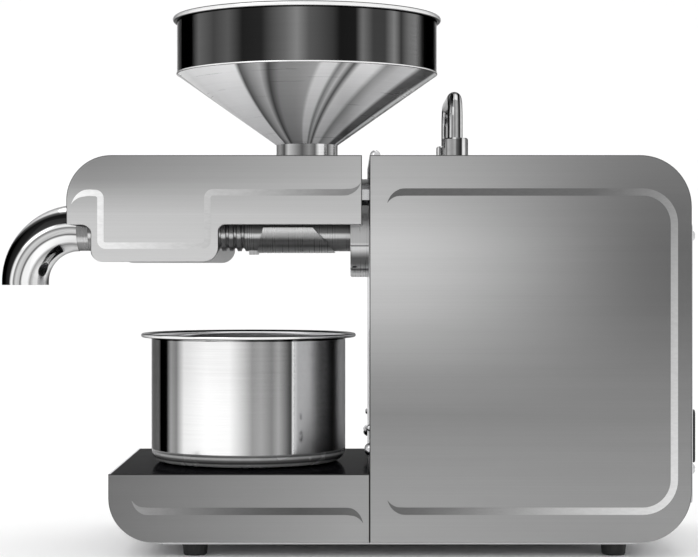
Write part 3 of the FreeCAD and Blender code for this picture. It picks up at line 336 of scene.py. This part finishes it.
# barrel, oil guard, flange and cake ring: painted highlights and painted reflections in the tone ramps
barrel_steel = reflection_painted("barrel_painted_reflections", "Z", AXIS_Z, [
    (-90, 0.10), (-66, 0.22), (-44, 0.34), (-30, 0.24), (-25, 0.8), (-18, 0.8), (-13, 0.16), (0, 0.07),
    (20, 0.05), (60, 0.2), (90, 0.4)], 0.3, ROUND_X, metallic=0.6)
guard_steel = reflection_painted("guard_painted_reflections", "Z", AXIS_Z, [
    (-90, 0.4), (-68, 0.7), (-56, 0.45), (-47, 0.16), (-38, 0.28), (-30, 0.18), (-22, 0.36), (-14, 0.5),
    (-6, 0.85), (3, 0.85), (90, 0.5)], 0.3, ROUND_X, metallic=0.6)
flange_steel = reflection_painted("flange_painted_reflections", "Z", AXIS_Z, [
    (-90, 0.2), (-74, 1.0), (-62, 1.0), (-58, 0.12), (-54, 1.0), (-47, 0.4), (-38, 0.3), (-31, 0.7),
    (-27, 1.0), (-23.5, 1.0), (-22, 0.05), (-20.5, 0.9), (-18, 0.62), (0, 0.6), (30, 0.45), (90, 0.6)],
    0.3, ROUND_X, metallic=0.5)
ring_steel = reflection_painted("cake_ring_painted_reflections", "Z", AXIS_Z, [
    (-90, 0.10), (-62, 0.22), (-42, 0.30), (-36, 0.7), (-28, 0.6), (-22, 0.24), (0, 0.2), (30, 0.08),
    (90, 0.3)], 0.3, ROUND_X, metallic=0.7)
for node, finish in (("press_barrel", barrel_steel), ("oil_guard", guard_steel),
                     ("bearing_housing", flange_steel), ("cake_ring", ring_steel)):
    for holder in frame["nodes"][node].material_slots:
        holder.material = finish
print("streaked steels ready")

# %% [markdown]
# ## Turned stand-ins
# Hopper, pot, spout and handle are mirrors, and the smallest facet shows in a mirror. Their
# stand-ins follow the CAD sizes but are made with many more steps round the axis and smooth
# shading. A profile of radius and height points is swept round the axis, and edges sharper than
# 35 degrees stay crisp.

# %% Lathe and finished pieces
def clean_mesh(name, corners, faces, weld=False):
    """A mesh with its faces turned outwards; weld joins corners that fall together."""
    mesh = bpy.data.meshes.new(name)
    mesh.from_pydata(corners, [], faces)
    body = bmesh.new()
    body.from_mesh(mesh)
    if weld:
        bmesh.ops.remove_doubles(body, verts=body.verts, dist=1e-7)
    bmesh.ops.recalc_face_normals(body, faces=body.faces)
    body.to_mesh(mesh)
    body.free()
    return mesh


def finish_mesh(name, mesh, material, body, slot, *nodes):
    """Links a mesh as a piece that rides on body and stands for nodes; slot is not used."""
    for face in mesh.polygons:
        face.use_smooth = True
    mesh.set_sharp_from_angle(angle=math.radians(35))
    made = bpy.data.objects.new(name, mesh)
    bpy.context.scene.collection.objects.link(made)
    made.data.materials.append(material)
    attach(made, body)
    if nodes:
        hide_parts(*nodes)
    return made


def lathe_mesh(name, profile, x):
    """A mesh turned round the upright axis at x; profile is a closed loop of (radius, z) points."""
    steps = 192
    corners, faces = [], []
    count = len(profile)
    for step in range(steps):
        turn = 2 * math.pi * step / steps
        corners += [(x + r * math.cos(turn), r * math.sin(turn), z) for r, z in profile]
    for step in range(steps):
        here, there = step * count, (step + 1) % steps * count
        for i in range(count):
            j = (i + 1) % count
            faces.append((here + i, there + i, there + j, here + j))
    return clean_mesh(name, corners, faces, weld=True)


def arc(r, z, radius, first, last, steps):
    """Points on an arc round (r, z) from first to last degrees."""
    turns = [math.radians(first + (last - first) * i / steps) for i in range(steps + 1)]
    return [(r + radius * math.cos(t), z + radius * math.sin(t)) for t in turns]


print("lathe ready")

# %% [markdown]
# ## The hopper
# Two pieces of thin sheet: a straight band with a rolled rim, and a cone that is seamed to it and
# ends in a short neck. The rolled edges get a real round section, and their thin bright and dark
# lines are a painted highlight and painted shade in the colour of the rim.

# %% Hopper band, cone and seam
RIM_Z, BAND_Z, NECK_Z, NECK_LOW = 0.335, 0.2992, 0.2532, 0.226
BAND_R, RIM_R, NECK_R, SKIN = 0.0834, 0.0861, 0.0197, 0.001
BEAD, RIM_GAP = 0.0017, 0.0006


def painted_rim_light():
    """Rolled edge with painted light: a painted highlight where it faces out, painted shade where it turns up
    or under.
    """
    made, tree, shader = start("rim_painted_highlight")
    # painted highlight and painted shade, picked by which way the surface faces
    tone = ramp_of(tree, split(tree, "Normal")["Z"], -1.0, 1.0, [
        (-1.0, 0.05), (-0.75, 0.1), (-0.5, 0.9), (0.45, 0.95), (0.7, 0.06), (1.0, 0.03)])
    worn = stretched_noise(tree, (60.0, 60.0, 60.0))
    tint(tree, shader, tone, spread(tree, worn, 0.95, 1.05))
    tree.links.new(spread(tree, worn, 0.16, 0.26), shader.inputs["Roughness"])
    polish(shader)
    return made


rim_painted_highlight = painted_rim_light()
bead_z = RIM_Z - BEAD
band_profile = [(BAND_R - SKIN, BAND_Z), (BAND_R, BAND_Z), (BAND_R, bead_z - RIM_GAP)]
band_profile += [(BAND_R - SKIN, bead_z - RIM_GAP)]
band = finish_mesh("hopper_band_shell", lathe_mesh("hopper_band_shell", band_profile, FEED_X),
                   band_steel, "hopper", "hopper_steel", "hopper_band")
rim_profile = arc(RIM_R - BEAD, bead_z, BEAD, 0, 345, 23)
rim = finish_mesh("hopper_rim_roll", lathe_mesh("hopper_rim_roll", rim_profile, FEED_X),
                  rim_painted_highlight, "hopper", "hopper_steel")
cone_profile = [(BAND_R, BAND_Z - SKIN), (BAND_R, BAND_Z), (BAND_R - 2 * SKIN, BAND_Z),
                (NECK_R - SKIN, NECK_Z + SKIN), (NECK_R - SKIN, NECK_LOW), (NECK_R, NECK_LOW),
                (NECK_R, NECK_Z)]
cone = finish_mesh("hopper_cone_shell", lathe_mesh("hopper_cone_shell", cone_profile, FEED_X),
                   cone_steel, "hopper", "hopper_steel", "hopper_cone")
cone.data.materials.append(neck_steel)
for face in cone.data.polygons:
    if face.center.z < NECK_Z:
        face.material_index = 1
seam_profile = arc(BAND_R - 0.0002, BAND_Z - 0.0004, 0.0007, 0, 330, 11)
seam = finish_mesh("hopper_seam", lathe_mesh("hopper_seam", seam_profile, FEED_X),
                   rim_painted_highlight, "hopper", "hopper_steel")
print("hopper:", [o.name for o in (band, rim, cone, seam)])

# %% [markdown]
# ## The oil pot
# A drawn pot has a round bottom corner and a lip that is rolled outwards. The lip is thin and
# carries a painted highlight, the wall shows the broad streaks of painted reflection, and the inside
# is painted darker as shade and is a little rougher.

# %% Pot wall, inside and lip
POT_R, LIP_R, POT_LOW, POT_TOP, POT_SKIN, CORNER = 0.0623, 0.069, 0.0503, 0.1326, 0.0009, 0.009
LIP_BEAD = 0.0013
lip_z, lip = POT_TOP - LIP_BEAD, LIP_R - LIP_BEAD
outside = [(0.0, POT_LOW)] + arc(POT_R - CORNER, POT_LOW + CORNER, CORNER, -90, 0, 10)
outside += [(POT_R, lip_z - 0.0024), (POT_R + 0.0016, lip_z - 0.0012), (lip - 0.0012, lip_z - 0.0009)]
lip_roll = arc(lip, lip_z, LIP_BEAD, -90, 90, 8)
inner_wall = [(POT_R + 0.0012, lip_z + 0.0001), (POT_R - POT_SKIN, lip_z - 0.002)]
inner_wall += arc(POT_R - CORNER, POT_LOW + CORNER, CORNER - POT_SKIN, 0, -90, 10)
inner_wall += [(0.0, POT_LOW + POT_SKIN)]
# the inside of the pot: a darker tone as painted shade in the hollow, with a rougher finish
pot_inside_painted_shade = metal("pot_inside_painted_shade", (0.42, 0.42, 0.43), 0.22, ROUND_Z)
pot = finish_mesh("pot_shell", lathe_mesh("pot_shell", outside + lip_roll + inner_wall, POT_X),
                  pot_steel, "pot", "pot_steel", "oil_pot")
pot.data.materials.append(pot_inside_painted_shade)
pot.data.materials.append(rim_painted_highlight)


def painted_corner_light():
    """The drawn bottom corner: thin lines of painted highlight and painted shade where it turns under."""
    made, tree, shader = start("pot_corner_painted_light")
    # painted highlight and painted shade lines, chosen by the normal
    tone = ramp_of(tree, split(tree, "Normal")["Z"], -1.0, 0.0, [
        (-1.0, 0.01), (-0.9, 0.02), (-0.84, 1.0), (-0.7, 1.0), (-0.6, 0.08), (-0.4, 0.3), (-0.3, 0.9),
        (-0.22, 0.9), (-0.15, 0.15), (0.0, 0.3)])
    worn = stretched_noise(tree, (90.0, 90.0, 90.0))
    tint(tree, shader, tone, spread(tree, worn, 0.85, 1.0))
    tree.links.new(spread(tree, worn, 0.2, 0.3), shader.inputs["Roughness"])
    polish(shader, 0.3)
    return made


pot.data.materials.append(painted_corner_light())
for face in pot.data.polygons:
    middle = face.center
    reach = math.hypot(middle.x - POT_X, middle.y)
    if face.normal.dot(Vector((POT_X - middle.x, -middle.y, 0.0))) > 0.2 * reach or face.normal.z > 0.9:
        face.material_index = 1
    if reach > POT_R + 0.0009:
        face.material_index = 2
    if face.material_index == 0 and middle.z < POT_LOW + 0.95 * CORNER:
        face.material_index = 3
print("pot faces:", len(pot.data.polygons))

# %% [markdown]
# ## The cake spout and the carrying handle
# Both are bent from round stock, one from tube and one from rod. A sweep does that: rings of
# points are set up square to a path and joined. The path of the spout is a quarter circle with a
# short straight end, and the handle is a hoop across the casing.

# %% Sweep a round section
def sweep_mesh(name, path, radius, across, steps=48, bore=0.0):
    """A round bar or tube along path; across is a direction that is square to the whole path."""
    corners, faces = [], []
    radii = [radius] if bore == 0.0 else [radius, bore]
    across = Vector(across)
    for i, point in enumerate(path):
        before, after = path[max(i - 1, 0)], path[min(i + 1, len(path) - 1)]
        forward = (Vector(after) - Vector(before)).normalized()
        up = forward.cross(across)
        for r in radii:
            for k in range(steps):
                turn = 2 * math.pi * k / steps
                corners.append(Vector(point) + across * (r * math.cos(turn)) + up * (r * math.sin(turn)))
    ring = steps * len(radii)
    for i in range(len(path) - 1):
        for k in range(steps):
            n = (k + 1) % steps
            for layer in range(len(radii)):
                a, b = i * ring + layer * steps, (i + 1) * ring + layer * steps
                faces.append((a + k, a + n, b + n, b + k))
    for i in (0, len(path) - 1):
        if bore:
            faces += [(i * ring + k, i * ring + (k + 1) % steps, i * ring + steps + (k + 1) % steps,
                       i * ring + steps + k) for k in range(steps)]
        else:
            faces.append(tuple(i * ring + k for k in range(steps)))
    return clean_mesh(name, [tuple(c) for c in corners], faces)


SPOUT_R, SPOUT_BEND, SPOUT_X, SPOUT_WALL = 0.015, 0.0346, -0.1672, 0.0012
DRIFT = 5.5  # mm that the streaks move outwards between the head and the mouth


def spout_path():
    """Quarter bend from the cake ring to the downward mouth, with a 2 mm straight end."""
    turns = [math.radians(90 + 90 * i / 40) for i in range(41)]
    bend_z = AXIS_Z - SPOUT_BEND
    points = [(SPOUT_X + SPOUT_BEND * math.cos(t), 0.0, bend_z + SPOUT_BEND * math.sin(t)) for t in turns]
    return points + [(SPOUT_X - SPOUT_BEND, 0.0, bend_z - 0.002)]


def spout_finish():
    """Chrome with painted reflections: streaks that follow the bend and drift outwards towards the mouth."""
    made, tree, shader = start("spout_painted_reflections")
    place = split(tree)
    out = add(tree, "ShaderNodeMath", {0: place["X"], 1: SPOUT_X}, operation="SUBTRACT")
    high = add(tree, "ShaderNodeMath", {0: place["Z"], 1: AXIS_Z - SPOUT_BEND}, operation="SUBTRACT")
    flat = add(tree, "ShaderNodeCombineXYZ", {"X": out.outputs[0], "Z": high.outputs[0]})
    reach = add(tree, "ShaderNodeVectorMath", {0: flat.outputs[0]}, operation="LENGTH")
    inner, outer = (SPOUT_BEND - SPOUT_R) * 1000, (SPOUT_BEND + SPOUT_R) * 1000
    back = add(tree, "ShaderNodeMath", {0: out.outputs[0], 1: -1.0}, operation="MULTIPLY")
    turn = add(tree, "ShaderNodeMath", {0: high.outputs[0], 1: back.outputs[0]}, operation="ARCTAN2")
    drift = spread(tree, turn.outputs[0], DRIFT, 0.0, 0.0, math.pi / 2)
    in_mm = add(tree, "ShaderNodeMath", {0: reach.outputs["Value"], 1: 1000.0}, operation="MULTIPLY")
    shifted = add(tree, "ShaderNodeMath", {0: in_mm.outputs[0], 1: drift}, operation="SUBTRACT")
    # painted reflections: bright and dark bands across the tube stand in for the studio mirrored in the
    # chrome
    tones = ramp_of(tree, shifted.outputs[0], inner - DRIFT, outer, [
        (inner - DRIFT, 0.05), (16.5, 0.8), (22.0, 0.7), (24.0, 0.3), (25.5, 0.9), (29.0, 0.85), (30.0, 0.06),
        (31.0, 0.5), (33.0, 0.62), (34.6, 0.16), (35.4, 0.9), (36.4, 0.8), (37.4, 0.02), (43.0, 0.008),
        (44.6, 0.12), (45.6, 0.95), (48.4, 0.95), (49.0, 0.03), (outer, 0.02)])
    broad = stretched_noise(tree, (22.0, 22.0, 22.0), 2.0)
    tint(tree, shader, tones, spread(tree, broad, 0.85, 1.1))
    tree.links.new(spread(tree, broad, 0.06, 0.1), shader.inputs["Roughness"])
    polish(shader)
    return made


spout = finish_mesh("cake_spout_tube", sweep_mesh("cake_spout_tube", spout_path(), SPOUT_R, (0, 1, 0), 64,
                                                  SPOUT_R - SPOUT_WALL),
                    spout_finish(), "barrel_group", "spout_chrome", "cake_spout")
HANDLE_X, HANDLE_Y, ROD, HOOP_LOW, HOOP_TOP, HOOP_BEND = 0.0727, 0.042, 0.0046, 0.2425, 0.2804, 0.013


def hoop_path():
    """Up one leg, over with two bends, down the other leg."""
    side = [math.radians(180 - 90 * i / 12) for i in range(13)]
    left = [(HANDLE_X, -HANDLE_Y + HOOP_BEND + HOOP_BEND * math.cos(t),
             HOOP_TOP - HOOP_BEND + HOOP_BEND * math.sin(t)) for t in side]
    right = [(x, -y, z) for x, y, z in reversed(left)]
    return [(HANDLE_X, -HANDLE_Y, HOOP_LOW)] + left + right + [(HANDLE_X, HANDLE_Y, HOOP_LOW)]


def handle_finish(name, half, stops):
    """Chrome with painted reflections as streaks along the hoop; the tone follows the sideways place, -1 to 1
    over half.
    """
    made, tree, shader = start(name)
    side = add(tree, "ShaderNodeMath", {0: split(tree)["X"], 1: HANDLE_X}, operation="SUBTRACT")
    share = add(tree, "ShaderNodeMath", {0: side.outputs[0], 1: half}, operation="DIVIDE")
    tone = ramp_of(tree, share.outputs[0], -1.0, 1.0, stops)
    worn = stretched_noise(tree, (300.0, 300.0, 300.0))
    tint(tree, shader, tone, spread(tree, worn, 0.93, 1.07))
    tree.links.new(spread(tree, worn, 0.08, 0.14), shader.inputs["Roughness"])
    polish(shader)
    return made


# painted reflections: bright and dark bands across the rod stand in for the studio mirrored in the chrome
hoop_painted_reflections = handle_finish("hoop_painted_reflections", ROD, [
    (-1.0, 0.02), (-0.88, 0.05), (-0.78, 0.8), (-0.62, 0.7), (-0.5, 0.12), (-0.3, 0.42), (-0.1, 0.22),
    (0.1, 0.45), (0.3, 0.3), (0.42, 0.02), (0.6, 0.02), (0.7, 0.7), (0.86, 0.75), (0.92, 0.05), (1.0, 0.03)])
ferrule_painted_reflections = handle_finish("ferrule_painted_reflections", 0.008, [
    (-1.0, 0.03), (-0.92, 0.5), (-0.84, 0.85), (-0.76, 0.1), (-0.6, 0.45), (-0.3, 0.28), (-0.05, 0.4),
    (0.05, 0.12), (0.3, 0.03), (0.45, 0.02), (0.52, 0.8), (0.68, 0.85), (0.78, 0.15), (0.92, 0.3),
    (1.0, 0.03)])
for holder in frame["nodes"]["handle_ferrules"].material_slots:
    holder.material = ferrule_painted_reflections
hoop = finish_mesh("handle_hoop", sweep_mesh("handle_hoop", hoop_path(), ROD, (1, 0, 0), 40),
                   hoop_painted_reflections, "machine", "handle_chrome", "carry_handle")
print("swept:", spout.name, hoop.name)

# %% [markdown]
# ## Inlaid strips on the face plates
# A narrow polished strip runs round each face plate and ends in pointed swooshes. It is a tenth
# of a millimetre proud, enough to catch an edge of light. Its slow change of tone along its length is
# a painted reflection. A strip is a centre line with a width that shrinks to nothing at the swoosh tips.

# %% Strips
FACE_Y, PROUD = -0.085, 0.00012


def curve(points, steps=10):
    """A smooth quadratic curve through a start, a pull point and an end."""
    (x0, z0), (x1, z1), (x2, z2) = points
    found = []
    for i in range(steps + 1):
        t = i / steps
        a, b, c = (1 - t) ** 2, 2 * t * (1 - t), t * t
        found.append((a * x0 + b * x1 + c * x2, a * z0 + b * z1 + c * z2))
    return found


def strip(name, line, widths, material):
    """A raised strip along line, (x, z) points in mm; widths gives the half width at each point."""
    left, right = [], []
    for i, (x, z) in enumerate(line):
        (bx, bz), (ax, az) = line[max(i - 1, 0)], line[min(i + 1, len(line) - 1)]
        length = math.hypot(ax - bx, az - bz)
        nx, nz = -(az - bz) / length, (ax - bx) / length
        left.append((x + nx * widths[i], z + nz * widths[i]))
        right.append((x - nx * widths[i], z - nz * widths[i]))
    corners, faces = [], []
    for depth in (FACE_Y - PROUD, FACE_Y):
        for (lx, lz), (rx, rz) in zip(left, right):
            corners += [(lx / 1000, depth, lz / 1000), (rx / 1000, depth, rz / 1000)]
    count = len(line)
    for i in range(count - 1):
        a = 2 * i
        b = a + 2 * count
        faces += [(a, a + 1, a + 3, a + 2), (b, b + 2, b + 3, b + 1)]
        faces += [(a, a + 2, b + 2, b), (a + 1, b + 1, b + 3, a + 3)]
    return finish_mesh(name, clean_mesh(name, corners, faces), material, "machine", "face_steel")


def tapered(line, half, first_mm, last_mm):
    """Half widths along line: nothing at a tip, full after first_mm; last_mm likewise at the end."""
    reach = [0.0]
    for (x0, z0), (x1, z1) in zip(line, line[1:]):
        reach.append(reach[-1] + math.hypot(x1 - x0, z1 - z0))
    total = reach[-1]
    return [half * min(1.0, max(0.02, r / first_mm), max(0.02, (total - r) / last_mm)) for r in reach]


def inlay(name, slope_x, slope_z, offset, stops):
    """Polished strip with a painted reflection: its tone changes slowly with place; stops are (share, tone).
    """
    made, tree, shader = start(name)
    place = split(tree)
    along = add(tree, "ShaderNodeMath", {0: place["X"], 1: slope_x, 2: offset}, operation="MULTIPLY_ADD")
    share = add(tree, "ShaderNodeMath", {0: place["Z"], 1: slope_z, 2: along.outputs[0]},
                operation="MULTIPLY_ADD")
    tone = ramp_of(tree, share.outputs[0], 0.0, 1.0, stops)
    fine = stretched_noise(tree, (300.0, 300.0, 900.0))
    tint(tree, shader, tone, spread(tree, fine, 0.95, 1.05))
    tree.links.new(spread(tree, fine, 0.28, 0.4), shader.inputs["Roughness"])
    polish(shader)
    return made


CASE_X, CASE_HIGH, CASE_LOW, CASE_BEND = 183.0, 200.9, 47.1, 18.9
HEAD_HIGH, HEAD_LOW, SMALL_BEND, WIDE_BEND = 216.0, 190.6, 3.0, 3.2
case_line = curve([(29.6, 213.3), (32.8, 219.8), (40.5, 219.8)])
case_line += arc(CASE_X, CASE_HIGH, CASE_BEND, 90, 0, 12) + arc(CASE_X, CASE_LOW, CASE_BEND, 0, -90, 12)
case_line += curve([(40.5, 28.2), (33.0, 28.2), (29.8, 34.6)])
base_line = curve([(-123.8, 34.5), (-121.0, 28.1), (-113.5, 28.1)])
base_line += curve([(4.5, 28.1), (12.0, 28.1), (15.0, 21.1)])
head_line = curve([(-160.1, 212.8), (-156.6, 219.3), (-149.0, 219.4)])
head_line += arc(-145.8, HEAD_HIGH, WIDE_BEND, 90, 0, 8) + arc(-139.6, HEAD_LOW, SMALL_BEND, 180, 270, 8)
head_line += arc(-81.4, HEAD_LOW, SMALL_BEND, -90, 0, 8) + arc(-75.2, 216.4, WIDE_BEND, 180, 90, 8)
head_line += curve([(2.5, 219.6), (11.0, 219.6), (13.6, 225.3)])
# painted reflections: the tone ramps of the three strips stand in for studio light along them
case_tones = inlay("strip_case_painted_reflection", 3.7, -2.08, 0.317, [
    (0.0, 0.13), (0.42, 0.15), (0.50, 0.2), (0.57, 0.27), (0.65, 0.35), (0.75, 0.49), (0.85, 0.6),
    (1.0, 0.75)])
base_tones = inlay("strip_base_painted_reflection", 7.2, 0.0, 0.893, [
    (0.0, 0.32), (0.2, 0.23), (0.43, 0.15), (0.56, 0.12), (0.73, 0.1), (0.9, 0.125), (1.0, 0.16)])
head_tones = inlay("strip_head_painted_reflection", 5.75, 0.0, 0.92, [
    (0.0, 0.95), (0.12, 0.84), (0.27, 0.72), (0.4, 0.6), (0.65, 0.45), (0.9, 0.27), (1.0, 0.24)])
strips = [strip("strip_case", case_line, tapered(case_line, 2.2, 11.0, 11.0), case_tones),
          strip("strip_base", base_line, tapered(base_line, 2.2, 10.0, 10.0), base_tones),
          strip("strip_head", head_line, tapered(head_line, 1.95, 10.0, 10.0), head_tones)]
print("strips:", [o.name for o in strips])

# %% [markdown]
# ## Stage, light and camera
# A pale sweep stands in for the studio table and wall: one sheet that curves up behind the press,
# so no horizon shows. The bright, even room does most of the work, with one big soft light from
# the upper left and one from above. The camera stands level with the middle of the machine, as far
# away as a person with a long lens would.

# %% Sweep, lights, camera
def sheet_mesh(name, points, across):
    """A strip through (y, z) points, running from -across to across along x."""
    mesh = bpy.data.meshes.new(name)
    corners = [(x, y, z) for y, z in points for x in (-across, across)]
    faces = [(2 * i, 2 * i + 1, 2 * i + 3, 2 * i + 2) for i in range(len(points) - 1)]
    mesh.from_pydata(corners, [], faces)
    for face in mesh.polygons:
        face.use_smooth = True
    made = bpy.data.objects.new(name, mesh)
    bpy.context.scene.collection.objects.link(made)
    return made


SWEEP_NEAR, SWEEP_BACK, SWEEP_BEND, SWEEP_TOP = -1.1, 1.2, 0.6, 3.0
turns = [math.radians(angle) for angle in range(0, 91, 6)]
bend = [(SWEEP_BACK + SWEEP_BEND * math.sin(t), SWEEP_BEND * (1 - math.cos(t))) for t in turns]
sweep_line = [(SWEEP_NEAR, 0.0)] + bend + [(SWEEP_BACK + SWEEP_BEND, SWEEP_TOP)]
sweep = sheet_mesh("sweep", sweep_line, 4.0)
paper, paper_tree, paper_shader = start("sweep_paper")
paper_shader.inputs["Base Color"].default_value = (0.93, 0.93, 0.93, 1.0)
paper_shader.inputs["Roughness"].default_value = 0.7
sweep.data.materials.append(paper)


def soft_light(name, place, target, width, height, power):
    """A rectangular soft light at place, aimed at target."""
    data = bpy.data.lights.new(name, "AREA")
    data.shape = "RECTANGLE"
    data.size, data.size_y, data.energy = width, height, power
    made = bpy.data.objects.new(name, data)
    made.location = place
    made.rotation_mode = "QUATERNION"
    made.rotation_quaternion = (Vector(target) - Vector(place)).to_track_quat("-Z", "Y")
    bpy.context.scene.collection.objects.link(made)
    return made


soft_light("key", (-0.9, -1.0, 1.1), (0, 0, 0.15), 0.9, 0.9, 3.0)
soft_light("top", (0.0, 0.5, 1.7), (0, 0.2, 0.1), 1.6, 1.2, 8.0)
world = bpy.data.worlds.new("studio")
world.use_nodes = True
world.node_tree.nodes["Background"].inputs["Color"].default_value = (1.0, 1.0, 1.0, 1.0)
world.node_tree.nodes["Background"].inputs["Strength"].default_value = 0.95
bpy.context.scene.world = world

lens = bpy.data.cameras.new("camera")
lens.sensor_width, lens.lens = 36.0, 100.1
lens.shift_y = -0.0122
eye = bpy.data.objects.new("camera", lens)
eye.location = (0.0066, -1.25, 0.173)
eye.rotation_euler = (math.radians(90), 0, 0)
bpy.context.scene.collection.objects.link(eye)
bpy.context.scene.camera = eye
bpy.context.scene.view_settings.view_transform = "Standard"
print("stage ready")
